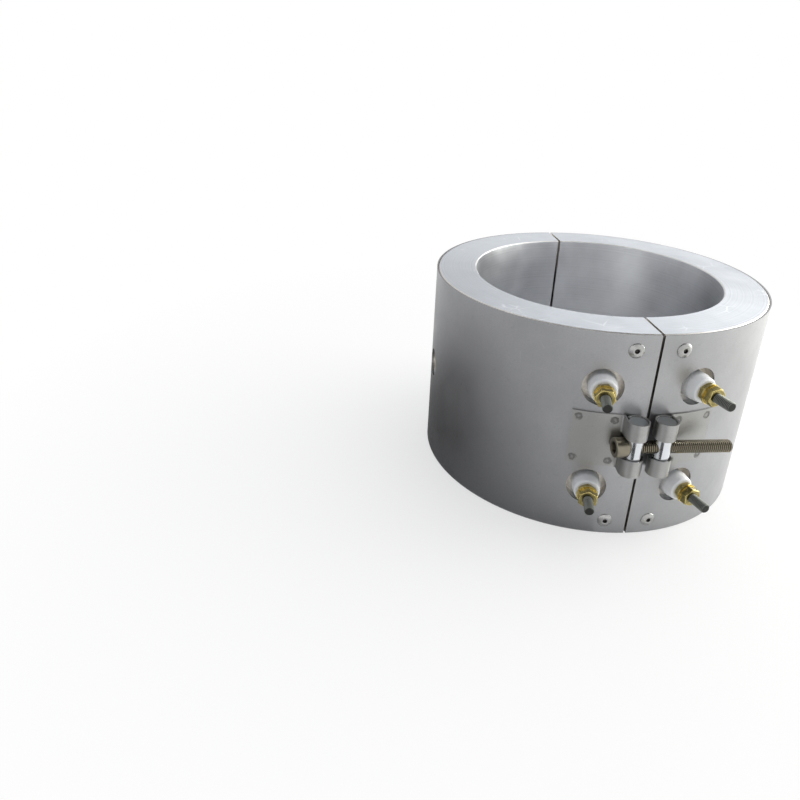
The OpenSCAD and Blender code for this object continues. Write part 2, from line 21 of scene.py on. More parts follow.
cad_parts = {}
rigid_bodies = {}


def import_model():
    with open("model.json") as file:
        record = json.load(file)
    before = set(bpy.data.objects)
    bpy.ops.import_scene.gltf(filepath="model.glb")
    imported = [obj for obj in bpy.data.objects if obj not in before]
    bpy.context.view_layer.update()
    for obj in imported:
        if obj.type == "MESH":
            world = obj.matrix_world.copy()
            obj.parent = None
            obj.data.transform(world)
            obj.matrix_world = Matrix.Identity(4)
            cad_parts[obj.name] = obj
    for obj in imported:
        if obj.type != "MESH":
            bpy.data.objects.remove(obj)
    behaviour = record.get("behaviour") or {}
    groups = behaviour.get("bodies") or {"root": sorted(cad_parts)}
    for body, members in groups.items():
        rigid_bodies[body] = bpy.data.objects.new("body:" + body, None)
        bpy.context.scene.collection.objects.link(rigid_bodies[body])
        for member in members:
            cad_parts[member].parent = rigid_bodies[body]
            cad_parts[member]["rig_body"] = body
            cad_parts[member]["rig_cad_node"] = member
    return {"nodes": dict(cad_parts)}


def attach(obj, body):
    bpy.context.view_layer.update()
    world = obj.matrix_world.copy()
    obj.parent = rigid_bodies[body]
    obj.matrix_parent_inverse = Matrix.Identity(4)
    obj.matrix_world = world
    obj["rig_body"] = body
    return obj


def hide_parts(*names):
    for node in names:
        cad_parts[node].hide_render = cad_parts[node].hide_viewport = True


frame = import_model()

LOG = logging.getLogger("heater")
MM = 0.001
Pair = tuple[float, float]
Point = tuple[float, float, float]
Colour = tuple[float, float, float]
Profile = Sequence[Pair]
Piece = bpy.types.Object
Socket = bpy.types.NodeSocket


def dimmed(colour: Colour, share: float) -> Colour:
    """The colour at a share of its brightness, which may be above 1."""
    return tuple(share * c for c in colour)


class Labelled(Enum):
    """Member that the CAD nodes name too."""

    @property
    def label(self) -> str:
        """Name of the member as the CAD nodes write it."""
        return self.name.lower()


class Side(Labelled):
    """Half of the heater, valued by its direction along X."""

    LEFT = -1
    RIGHT = 1

    @property
    def body(self) -> str:
        """Name of the CAD body that the half's pieces ride on."""
        return f"{self.label}_half"


class Level(Labelled):
    """Height of a terminal, rivet or weld, valued by its direction along Z."""

    TOP = 1
    BOTTOM = -1


class Cut(Enum):
    """What a tool does to the piece that it meets."""

    AWAY = "DIFFERENCE"
    KEEP = "INTERSECT"


@dataclass(frozen=True)
class Ring:
    """Sizes of the ring that the other pieces are placed by."""

    bore_r: float = 85 * MM
    cover_r: float = 113.5 * MM
    height: float = 140 * MM
    level_rise: float = 35 * MM
    rivet_end: float = 10 * MM
    terminal_angle: float = 14.9
    rivet_angle: float = math.degrees(14.3 / 113.5)

    def outward(self, angle: float, height: float) -> Matrix:
        """Turns a piece drawn along +Z so that it points out from the bore axis at that height."""
        turn = Matrix.Rotation(math.radians(angle - 90), 4, "Z")
        return turn @ Matrix.Translation((0, 0, height)) @ Matrix.Rotation(math.radians(90), 4, "Y")

    def terminal(self, side: Side, level: Level) -> Matrix:
        """Place of a terminal, as outward gives it."""
        height = self.height / 2 + level.value * self.level_rise
        return self.outward(side.value * self.terminal_angle, height)


RING = Ring()


# Modelling moves


class Bench:
    """Modelling moves that the pieces share, each of which selects what it works on."""

    @staticmethod
    def clear() -> None:
        """Deselects everything."""
        bpy.ops.object.select_all(action="DESELECT")

    @staticmethod
    def take(piece: Piece) -> None:
        """Makes one piece the only selected object, and the active one."""
        Bench.clear()
        piece.select_set(True)
        bpy.context.view_layer.objects.active = piece

    @staticmethod
    @contextmanager
    def editing(piece: Piece) -> Iterator[None]:
        """Opens a piece for edits with its whole mesh selected, and closes it again afterwards."""
        Bench.take(piece)
        bpy.ops.object.mode_set(mode="EDIT")
        bpy.ops.mesh.select_all(action="SELECT")
        yield
        bpy.ops.object.mode_set(mode="OBJECT")

    @staticmethod
    def polyline(points: Profile) -> Piece:
        """Draws a chain of edges in the XZ plane by extruding one vertex.

        Args:
            points: Distance from the axis and height of each point.

        Returns:
            The new object.
        """
        Bench.clear()
        bpy.ops.mesh.primitive_plane_add(size=MM, location=(0, 0, 0))
        chain = bpy.context.object
        with Bench.editing(chain):
            bpy.ops.mesh.merge(type="CENTER")
            bpy.ops.transform.translate(value=(points[0][0], 0, points[0][1]))
            for (r0, z0), (r1, z1) in zip(points, points[1:]):
                step = (r1 - r0, 0, z1 - z0)
                bpy.ops.mesh.extrude_region_move(TRANSFORM_OT_translate={"value": step})
        return chain

    @staticmethod
    def modify(piece: Piece, kind: str, **settings: object) -> None:
        """Adds a modifier and applies it.

        Args:
            piece: Object to change.
            kind: Type of the modifier.
            settings: Its settings by name.
        """
        Bench.take(piece)
        modifier = piece.modifiers.new(kind.title(), kind)
        for name, value in settings.items():
            setattr(modifier, name, value)
        bpy.ops.object.modifier_apply(modifier=modifier.name)

    @staticmethod
    def weld(piece: Piece, gap: float = 1e-7) -> None:
        """Merges points that lie within the gap of each other and turns all faces outwards."""
        with Bench.editing(piece):
            bpy.ops.mesh.remove_doubles(threshold=gap)
            bpy.ops.mesh.normals_make_consistent(inside=False)

    @staticmethod
    def turned(points: Profile, steps: int = 48) -> Piece:
        """Spins a profile once round the Z axis, as on a lathe.

        Args:
            points: Profile that starts and ends on the axis.
            steps: Number of facets round the axis.

        Returns:
            The closed piece.
        """
        piece = Bench.polyline(points)
        Bench.modify(piece, "SCREW", axis="Z", angle=math.tau, steps=steps, render_steps=steps,
                     use_merge_vertices=True, merge_threshold=1e-7)
        Bench.weld(piece)
        return piece

    @staticmethod
    def cut(piece: Piece, tool: Piece, how: Cut) -> None:
        """Cuts a piece with a closed tool, which is deleted."""
        Bench.modify(piece, "BOOLEAN", object=tool, operation=how.value, solver="EXACT")
        bpy.data.objects.remove(tool)

    @staticmethod
    def round_edges(piece: Piece, width: float, segments: int = 2, angle: float = 30,
                    finish: int = -1) -> None:
        """Rounds edges sharper than an angle in degrees, with a material index of their own if asked."""
        Bench.modify(piece, "BEVEL", width=width, segments=segments, limit_method="ANGLE",
                     angle_limit=math.radians(angle), material=finish, use_clamp_overlap=True)

    @staticmethod
    def smooth(piece: Piece, angle: float = 30) -> None:
        """Shades a piece smooth, apart from edges sharper than an angle in degrees."""
        Bench.take(piece)
        bpy.ops.object.shade_smooth_by_angle(angle=math.radians(angle))

    @staticmethod
    def place(piece: Piece, where: Matrix) -> None:
        """Moves a piece and applies its place to its mesh."""
        Bench.take(piece)
        piece.matrix_world = where @ piece.matrix_world
        bpy.ops.object.transform_apply(location=True, rotation=True, scale=True)

    @staticmethod
    def copy(piece: Piece, name: str, where: Optional[Matrix] = None) -> Piece:
        """Copies a piece with a mesh of its own.

        Args:
            piece: Object to copy, which may be a CAD node.
            name: Name of the copy.
            where: Place for it, if it moves.

        Returns:
            The copy, which rides on nothing yet.
        """
        twin = piece.copy()
        twin.data = piece.data.copy()
        twin.name = twin.data.name = name
        twin.parent = None
        twin.matrix_world = piece.matrix_world
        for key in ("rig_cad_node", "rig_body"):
            if key in twin:
                del twin[key]
        bpy.context.scene.collection.objects.link(twin)
        if where is not None:
            Bench.place(twin, where)
        return twin

    @staticmethod
    def join(piece: Piece, other: Piece) -> None:
        """Makes another piece part of the first one."""
        Bench.take(piece)
        other.select_set(True)
        bpy.ops.object.join()

    @staticmethod
    def coat(piece: Piece, *finishes: "Finish") -> None:
        """Gives a piece its finishes, in the order of its material indices."""
        piece.data.materials.clear()
        for finish in finishes:
            piece.data.materials.append(finish.material())

    @staticmethod
    def mark(piece: Piece, name: str, values: Iterable[float]) -> None:
        """Stores a number on each point of a piece, for its material to read."""
        layer = piece.data.attributes.new(name, "FLOAT", "POINT")
        layer.data.foreach_set("value", list(values))


@dataclass(frozen=True)
class Thread:
    """Helical thread on a bar along +Z, given by its crest radius, pitch and depth."""

    crest_r: float
    pitch: float
    depth: float

    def profile(self) -> Profile:
        """One pitch of the thread's section, from root to root."""
        crest_r, root_r, p = self.crest_r, self.crest_r - self.depth, self.pitch
        return [(root_r, 0), (root_r, 0.12 * p), (crest_r, 0.47 * p), (crest_r, 0.63 * p),
                (root_r, 0.98 * p), (root_r, p)]

    def bar(self, low: float, high: float, chamfer: float, steps: int = 28) -> Piece:
        """Makes a threaded bar with a chamfer at its upper end.

        Args:
            low: Height of its lower end.
            high: Height of its upper end.
            chamfer: Size of the chamfer.
            steps: Number of facets round the bar.

        Returns:
            The closed bar, with how high each point lies on the thread in its "crest" attribute.
        """
        turns = math.ceil((high - low) / self.pitch) + 4
        piece = Bench.polyline(self.profile())
        Bench.modify(piece, "SCREW", axis="Z", angle=math.tau, screw_offset=self.pitch,
                     iterations=turns, steps=steps, render_steps=steps)
        Bench.place(piece, Matrix.Translation((0, 0, low - 2 * self.pitch)))
        Bench.weld(piece, 1e-6)
        with Bench.editing(piece):
            for height, upper in ((low, False), (high, True)):
                bpy.ops.mesh.select_all(action="SELECT")
                bpy.ops.mesh.bisect(plane_co=(0, 0, height), plane_no=(0, 0, 1), use_fill=True,
                                    clear_inner=not upper, clear_outer=upper)
            bpy.ops.mesh.select_all(action="SELECT")
            bpy.ops.mesh.normals_make_consistent(inside=False)
        wide = self.crest_r + MM
        Bench.cut(piece, Bench.turned([(0, low - MM), (wide, low - MM), (wide, high - chamfer - MM),
                                       (self.crest_r - chamfer, high), (0, high)]), Cut.KEEP)
        root_r = self.crest_r - self.depth
        rises = [(math.hypot(v.co.x, v.co.y) - root_r) / self.depth for v in piece.data.vertices]
        Bench.mark(piece, "crest", [min(1.0, max(0.0, rise)) for rise in rises])
        return piece


# Materials


class Wiring:
    """Node tree of a material or world, with short calls for the nodes in use."""

    def __init__(self, owner: bpy.types.ID, shader: str, output: str) -> None:
        """Starts the tree with one shader.

        Args:
            owner: Material or world that the tree belongs to.
            shader: Type of the shader.
            output: Type of the output node.
        """
        owner.use_nodes = True
        self.owner = owner
        self.tree = owner.node_tree
        self.tree.nodes.clear()
        self.shader = self.add(shader)
        self.output = self.add(output)
        self.join(self.shader.outputs[0], self.output.inputs["Surface"])
        self.place = self.node("ShaderNodeTexCoord", "Object")

    @classmethod
    def material(cls, name: str, roughness: float, metallic: float) -> "Wiring":
        """Starts a material.

        Args:
            name: Name of the material.
            roughness: Plain roughness of its shader.
            metallic: 1 for bare metal, 0 for anything else.

        Returns:
            Its wiring.
        """
        w = cls(bpy.data.materials.new(name), "ShaderNodeBsdfPrincipled", "ShaderNodeOutputMaterial")
        w.feed("Roughness", roughness)
        w.feed("Metallic", metallic)
        return w

    def add(self, kind: str, inputs: Optional[dict] = None, **settings: object) -> bpy.types.Node:
        """Adds a node.

        Args:
            kind: Type of the node.
            inputs: What feeds its inputs, by name or number.
            settings: Its settings by name.

        Returns:
            The node.
        """
        node = self.tree.nodes.new(kind)
        for name, value in settings.items():
            setattr(node, name, value)
        for key, source in (inputs or {}).items():
            self.join(source, node.inputs[key])
        return node

    def node(self, kind: str, out: object, inputs: Optional[dict] = None,
             **settings: object) -> Socket:
        """Adds a node as add does, and returns the output of that name or number."""
        return self.add(kind, inputs, **settings).outputs[out]

    def join(self, source: object, sink: Socket) -> None:
        """Feeds a socket from another socket, or from a plain value."""
        if isinstance(source, Socket):
            self.tree.links.new(source, sink)
        elif isinstance(source, tuple):
            sink.default_value = (*source, 1.0) if len(sink.default_value) == 4 else source
        else:
            sink.default_value = source

    def feed(self, name: str, source: object) -> None:
        """Feeds an input of the shader."""
        self.join(source, self.shader.inputs[name])

    def sum(self, operation: str, *terms: object) -> Socket:
        """Works a number out from its terms, which are sockets or numbers."""
        return self.node("ShaderNodeMath", 0, dict(enumerate(terms)), operation=operation)

    def times(self, first: object, second: object) -> Socket:
        """Product of two terms."""
        return self.sum("MULTIPLY", first, second)

    def plus(self, first: object, second: object) -> Socket:
        """Sum of two terms."""
        return self.sum("ADD", first, second)

    def pack(self, *parts: object) -> Socket:
        """Puts three terms together as a vector."""
        return self.node("ShaderNodeCombineXYZ", 0, dict(enumerate(parts)))

    def split(self, vector: Socket) -> list[Socket]:
        """Takes a vector apart into its X, Y and Z."""
        return list(self.add("ShaderNodeSeparateXYZ", {0: vector}).outputs)

    def mapped(self, scale: Point, vector: Optional[Socket] = None) -> Socket:
        """Stretches the given coordinates along each axis, or else the object's own."""
        return self.node("ShaderNodeMapping", 0, {
            "Vector": self.place if vector is None else vector, "Scale": scale})

    def round_the_ring(self) -> Socket:
        """Coordinates of a sheet wrapped round the bore: arc length, radius and height."""
        x, y, z = self.split(self.place)
        angle = self.sum("ARCTAN2", x, self.times(y, -1.0))
        return self.pack(self.times(angle, RING.cover_r), self.radius(), z)

    def radius(self) -> Socket:
        """Distance from the bore axis."""
        x, y, _ = self.split(self.place)
        return self.sum("SQRT", self.plus(self.times(x, x), self.times(y, y)))

    def level(self, low: float, high: float) -> Socket:
        """Mask from 0 where the normal rises by low or less to 1 where it rises by high or more."""
        normal_z = self.split(self.node("ShaderNodeNewGeometry", "Normal"))[2]
        return self.limits(self.sum("ABSOLUTE", normal_z), low, high)

    def noise(self, scale: float, detail: float = 3.0, rough: float = 0.5,
              vector: Optional[Socket] = None) -> Socket:
        """Soft noise from 0 to 1, with scale waves in a metre and finer layers on them."""
        return self.node("ShaderNodeTexNoise", "Fac", {
            "Vector": self.place if vector is None else vector, "Scale": scale, "Detail": detail,
            "Roughness": rough})

    def lines(self, value: Socket, scale: float, detail: float = 2.0) -> Socket:
        """Uneven lines from 0 to 1 across a coordinate, as tools leave them, scale of them in a metre."""
        return self.node("ShaderNodeTexNoise", "Fac", {"W": value, "Scale": scale, "Detail": detail},
                         noise_dimensions="1D")

    def scratches(self, scale: float, stretch: Point, width: float,
                  vector: Optional[Socket] = None) -> Socket:
        """Thin stray marks, 1 on a mark and 0 elsewhere.

        Args:
            scale: Marks in a metre.
            stretch: Stretch of the coordinates, low along the marks.
            width: Share of the spacing that a mark takes.
            vector: Coordinates, or None for the object's own.

        Returns:
            The mask of the marks.
        """
        distance = self.node("ShaderNodeTexVoronoi", "Distance", {
            "Vector": self.mapped(stretch, vector), "Scale": scale}, feature="DISTANCE_TO_EDGE")
        gate = self.limits(self.noise(scale * 0.6, 2.0, vector=vector), 0.56, 0.7)
        return self.times(self.limits(distance, width, 0.0), gate)

    def limits(self, value: Socket, low: float, high: float, to_low: float = 0.0,
               to_high: float = 1.0) -> Socket:
        """Spreads the values from low to high over those from to_low to to_high, and holds it there."""
        return self.node("ShaderNodeMapRange", 0, {
            "Value": value, "From Min": low, "From Max": high, "To Min": to_low, "To Max": to_high},
            clamp=True)

    def blend(self, share: object, first: object, second: object) -> Socket:
        """Blends two colours or sockets by the share of the second one."""
        return self.node("ShaderNodeMix", 2, {0: share, 6: first, 7: second}, data_type="RGBA")

    def relief(self, height: Socket, depth: float, strength: float = 1.0,
               under: Optional[Socket] = None) -> Socket:
        """Turns a height into a bumped normal.

        Args:
            height: Height from 0 to 1.
            depth: Real height of 1, in metres.
            strength: Strength of the bump.
            under: Bumped normal that this one lies on, if any.

        Returns:
            The normal, which also feeds the shader.
        """
        inputs = {"Strength": strength, "Distance": depth, "Height": height}
        if under is not None:
            inputs["Normal"] = under
        normal = self.node("ShaderNodeBump", 0, inputs)
        self.feed("Normal", normal)
        return normal

    def stored(self, name: str) -> Socket:
        """Number that the pieces carry in an attribute."""
        return self.node("ShaderNodeAttribute", "Fac", attribute_name=name)


class Finish(ABC):
    """Surface of a real material."""

    name: str
    roughness: float
    metallic: float = 1.0

    def material(self) -> bpy.types.Material:
        """The finish as a material, made once."""
        if self.name not in bpy.data.materials:
            self.wire(Wiring.material(self.name, self.roughness, self.metallic))
        return bpy.data.materials[self.name]

    @abstractmethod
    def wire(self, w: Wiring) -> None:
        """Wires the material."""


@dataclass(frozen=True)
class MachinedCasting(Finish):
    """Cast aluminium, turned on its end faces and in the bore, and left raw where it is pocketed. The end
    faces carry painted shade and the bore carries painted light, as a darker and a lighter tone of the
    same metal.
    """

    name: str = "machined_casting"
    # Painted shade: the face colour is darkened to hold down the highlight that the end faces catch.
    face: Colour = (0.39, 0.415, 0.45)
    # Painted light: the bore colour is lightened against the shade inside the ring.
    bore: Colour = (0.72, 0.73, 0.755)
    raw: Colour = (0.78, 0.74, 0.68)
    nick: Colour = (0.64, 0.66, 0.69)
    rub: Colour = (0.75, 0.77, 0.8)
    roughness: float = 0.4

    def wire(self, w: Wiring) -> None:
        """Wires the material."""
        w.feed("Anisotropic", 0.5)
        w.feed("Anisotropic Rotation", 0.25)
        x, y, z = w.split(w.place)
        w.feed("Tangent", w.pack(w.times(y, -1.0), x, 0.0))
        radius = w.radius()
        on_face = w.level(0.6, 0.9)
        on_bore = w.limits(radius, RING.bore_r + 0.4 * MM, RING.bore_r + 0.1 * MM)
        patches = w.limits(w.noise(38, 4, 0.55), 0.35, 0.7)
        streaks = w.lines(w.plus(radius, w.times(w.noise(9, 1), 2 * MM)), 1100, 5)
        raw = w.blend(w.limits(w.noise(600, 3), 0.3, 0.7), self.raw, dimmed(self.raw, 0.8))
        face = w.blend(w.times(patches, 0.5), self.face, dimmed(self.face, 0.86))
        face = w.blend(w.limits(streaks, 0.35, 0.7, 0.0, 0.45), face, dimmed(self.face, 0.62))
        nicks = w.scratches(60, (1.0, 1.0, 1.0), 0.03)
        face = w.blend(w.times(nicks, 0.6), face, self.nick)
        rings = w.limits(w.lines(z, 900, 3), 0.35, 0.7, 0.0, 0.35)
        bore = w.blend(rings, self.bore, dimmed(self.bore, 0.72))
        bore = w.blend(w.times(patches, 0.6), bore, dimmed(self.bore, 1.2))
        marks = w.scratches(70, (1.0, 1.0, 0.35), 0.012)
        bore = w.blend(w.times(marks, 0.5), bore, self.rub)
        # The end faces take the darker face colour and the bore takes the lighter bore colour: painted
        # shade and painted light on one metal.
        w.feed("Base Color", w.blend(on_face, w.blend(on_bore, raw, bore), face))
        rough = w.plus(w.limits(patches, 0.0, 1.0, 0.36, 0.46), w.times(on_bore, -0.04))
        w.feed("Roughness", rough)
        turning = w.plus(w.times(streaks, on_face), w.times(w.lines(z, 2200, 2), on_bore))
        base = w.relief(turning, 0.02 * MM, 0.5)
        dents = w.limits(w.noise(260, 2), 0.3, 0.24)
        w.relief(w.plus(dents, w.noise(1500, 2)), 0.05 * MM, 0.35, base)


@dataclass(frozen=True)
class SatinSheet(Finish):
    """Cold-rolled stainless sheet with a satin skin, faint rolling lines and handling marks."""

    name: str = "satin_sheet"
    colour: Colour = (0.47, 0.472, 0.488)
    # Share of the colour's brightness on faces that point up or down, the sheet's cut edges.
    sheared: float = 0.3
    roughness: float = 0.34
    marks: float = 0.35

    def wire(self, w: Wiring) -> None:
        """Wires the material."""
        ring = w.round_the_ring()
        grain = w.noise(1.0, 3, 0.6, w.mapped((900, 900, 2600), ring))
        fine = w.noise(2600, 2, 0.6)
        smudge = w.limits(w.noise(22, 5, 0.6), 0.38, 0.68)
        spots = w.limits(w.noise(240, 3, 0.6), 0.62, 0.74)
        colour = w.blend(w.times(smudge, 0.8), self.colour, dimmed(self.colour, 0.82))
        colour = w.blend(w.limits(grain, 0.3, 0.75, 0.0, 0.7), colour, dimmed(self.colour, 0.76))
        colour = w.blend(w.times(spots, 0.25), colour, dimmed(self.colour, 0.6))
        scratch = w.scratches(34, (1.0, 1.0, 3.2), 0.004, ring)
        colour = w.blend(w.times(scratch, self.marks), colour, (0.85, 0.85, 0.84))
        # Faces that point up or down, the sheet's cut edges, take a darker copy of the colour.
        edge = dimmed(self.colour, self.sheared)
        w.feed("Base Color", w.blend(w.level(0.6, 0.9), colour, edge))
        rough = w.limits(smudge, 0.0, 1.0, self.roughness, self.roughness + 0.1)
        w.feed("Roughness", w.plus(rough, w.times(grain, 0.05)))
        base = w.relief(grain, 0.008 * MM, 0.5)
        base = w.relief(w.noise(7, 2), 0.9 * MM, 0.35, base)
        w.relief(fine, 0.006 * MM, 0.5, base)


@dataclass(frozen=True)
class FiredCeramic(Finish):
    """White steatite with a half-matt skin."""

    name: str = "fired_ceramic"
    colour: Colour = (0.86, 0.87, 0.88)
    roughness: float = 0.36
    metallic: float = 0.0

    def wire(self, w: Wiring) -> None:
        """Wires the material."""
        cloud = w.limits(w.noise(220, 4, 0.6), 0.35, 0.7)
        specks = w.limits(w.noise(2300, 2), 0.68, 0.76)
        colour = w.blend(w.times(cloud, 0.5), self.colour, (0.78, 0.79, 0.80))
        w.feed("Base Color", w.blend(w.times(specks, 0.4), colour, (0.45, 0.42, 0.38)))
        w.feed("Roughness", w.limits(cloud, 0.0, 1.0, 0.32, 0.42))
        w.relief(w.noise(900, 3), 0.03 * MM, 0.5)


@dataclass(frozen=True)
class NutBrass(Finish):
    """Brass of the nuts: dulled olive on the flats, or worn bright on the edges."""

    name: str = "dulled_brass"
    colour: Colour = (0.36, 0.30, 0.12)
    tarnish: Colour = (0.15, 0.125, 0.055)
    roughness: float = 0.24
    dulled: float = 0.75

    def wire(self, w: Wiring) -> None:
        """Wires the material."""
        film = w.limits(w.noise(420, 4, 0.6), 0.4, 0.66, 0.0, self.dulled)
        colour = w.blend(film, self.colour, self.tarnish)
        brushed = w.lines(w.plus(w.radius(), w.noise(60, 1)), 6000, 1)
        w.feed("Base Color", w.blend(w.times(brushed, 0.15), colour, (0.9, 0.75, 0.35)))
        w.feed("Roughness", w.limits(film, 0.0, 1.0, self.roughness, self.roughness + 0.15))
        w.relief(w.noise(1500, 3), 0.02 * MM, 0.4)


@dataclass(frozen=True)
class ThreadedSteel(Finish):
    """Steel bar whose thread is bright on its crests and dark in its roots; the dark root colour is
    painted shade in the thread's grooves.
    """

    name: str = "threaded_steel"
    crest: Colour = (0.62, 0.56, 0.44)
    # Painted shade: the root colour darkens the thread's grooves and the screw head's socket.
    root: Colour = (0.16, 0.13, 0.09)
    roughness: float = 0.3
    metallic: float = 1.0

    def wire(self, w: Wiring) -> None:
        """Wires the material."""
        height = w.stored("crest")
        stain = w.limits(w.noise(180, 4, 0.6), 0.4, 0.7)
        crest = w.blend(w.times(stain, 0.4), self.crest, dimmed(self.crest, 0.7))
        # Painted shade from crest to root, by each point's stored height on the thread.
        w.feed("Base Color", w.blend(w.limits(height, 0.05, 0.75), self.root, crest))
        w.feed("Roughness", w.limits(height, 0.0, 1.0, self.roughness + 0.22, self.roughness))
        w.relief(w.noise(2200, 2), 0.015 * MM, 0.4)


@dataclass(frozen=True)
class BrightPlate(Finish):
    """Chromed turned steel, bright on its round faces and satin on its sawn ends."""

    name: str = "bright_plate"
    colour: Colour = (0.74, 0.76, 0.80)
    end: Colour = (0.36, 0.38, 0.39)
    roughness: float = 0.12

    def wire(self, w: Wiring) -> None:
        """Wires the material."""
        on_end = w.level(0.8, 0.95)
        haze = w.limits(w.noise(160, 4), 0.4, 0.7)
        colour = w.blend(w.times(haze, 0.3), self.colour, dimmed(self.colour, 0.85))
        w.feed("Base Color", w.blend(on_end, colour, self.end))
        rough = w.limits(haze, 0.0, 1.0, 0.1, 0.18)
        w.feed("Roughness", w.plus(rough, w.times(on_end, 0.22)))
        w.relief(w.noise(1800, 2), 0.012 * MM, 0.4)


@dataclass(frozen=True)
class PlainMetal(Finish):
    """Small metal part with an even skin, clouded by handling."""

    name: str = "plain_metal"
    colour: Colour = (0.5, 0.5, 0.49)
    roughness: float = 0.32
    clouds: float = 0.4

    def wire(self, w: Wiring) -> None:
        """Wires the material."""
        cloud = w.limits(w.noise(300, 4, 0.6), 0.4, 0.7)
        w.feed("Base Color", w.blend(w.times(cloud, self.clouds), self.colour,
                                     dimmed(self.colour, 0.62)))
        w.feed("Roughness", w.limits(cloud, 0.0, 1.0, self.roughness, self.roughness + 0.12))
        w.relief(w.noise(1400, 3), 0.02 * MM, 0.4)


@dataclass(frozen=True)
class WeldTint(Finish):
    """Spot weld: a sunk nugget in a heat-tinted ring, read from the piece's "rim" attribute."""

    name: str = "weld_tint"
    nugget: Colour = (0.31, 0.31, 0.305)
    tint: Colour = (0.2, 0.198, 0.195)
    edge: Colour = (0.38, 0.378, 0.37)
    roughness: float = 0.42

    def wire(self, w: Wiring) -> None:
        """Wires the material."""
        rim = w.plus(w.stored("rim"), w.limits(w.noise(500, 3), 0.3, 0.7, -0.3, 0.3))
        inner = w.blend(w.limits(rim, 0.18, 0.42), self.nugget, self.tint)
        w.feed("Base Color", w.blend(w.limits(rim, 0.72, 1.0), inner, self.edge))
        w.feed("Roughness", w.limits(rim, 0.2, 0.8, 0.38, 0.55))
        w.relief(w.noise(1600, 3), 0.05 * MM, 0.6)


@dataclass(frozen=True)
class PackedPowder(Finish):
    """Magnesia, rolled hard inside the sheath."""

    name: str = "packed_powder"
    colour: Colour = (0.86, 0.84, 0.79)
    roughness: float = 0.85
    metallic: float = 0.0

    def wire(self, w: Wiring) -> None:
        """Wires the material."""
        grains = w.limits(w.noise(2400, 4, 0.7), 0.35, 0.7)
        w.feed("Base Color", w.blend(w.times(grains, 0.5), self.colour, (0.66, 0.63, 0.57)))
        w.relief(grains, 0.08 * MM, 0.6)


# Pieces


@dataclass
class SubAssembly(ABC):
    """Pieces that are built and dressed together."""

    ring: Ring = RING

    @abstractmethod
    def build(self) -> None:
        """Makes, dresses and places the pieces."""

    def dress(self, node: str, finish: Finish) -> None:
        """Gives the CAD node of that name its finish."""
        Bench.coat(frame["nodes"][node], finish)
        LOG.info("%s: %s", node, finish.name)

    def fit(self, piece: Piece, name: str, body: str, slot: str, *nodes: str) -> None:
        """Hands a finished piece to the frame.

        Args:
            piece: Piece in its place.
            name: Name of the piece.
            body: CAD body that it rides on.
            slot: Material slot of the record; not used.
            nodes: CAD nodes that it stands for.
        """
        piece.name = piece.data.name = name
        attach(piece, body)
        if nodes:
            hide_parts(*nodes)
        LOG.info("%s: %d faces", name, len(piece.data.polygons))


@dataclass
class Halves(SubAssembly):
    """The two castings, their covers and the elements cast into them."""

    casting: Finish = MachinedCasting()
    sheet: Finish = SatinSheet()
    sheath: Finish = PlainMetal("annealed_sheath", (0.30, 0.29, 0.28), 0.5)
    powder: Finish = PackedPowder()
    wire: Finish = PlainMetal("coil_wire", (0.33, 0.29, 0.25), 0.5)

    def build(self) -> None:
        """Dresses the CAD nodes, whose shapes are right as they are."""
        finishes = {"cast_half": self.casting, "cover": self.sheet, "element_sheath": self.sheath,
                    "element_fill": self.powder, "resistance_coil": self.wire}
        for side, (node, finish) in product(Side, finishes.items()):
            self.dress(f"{node}_{side.label}", finish)


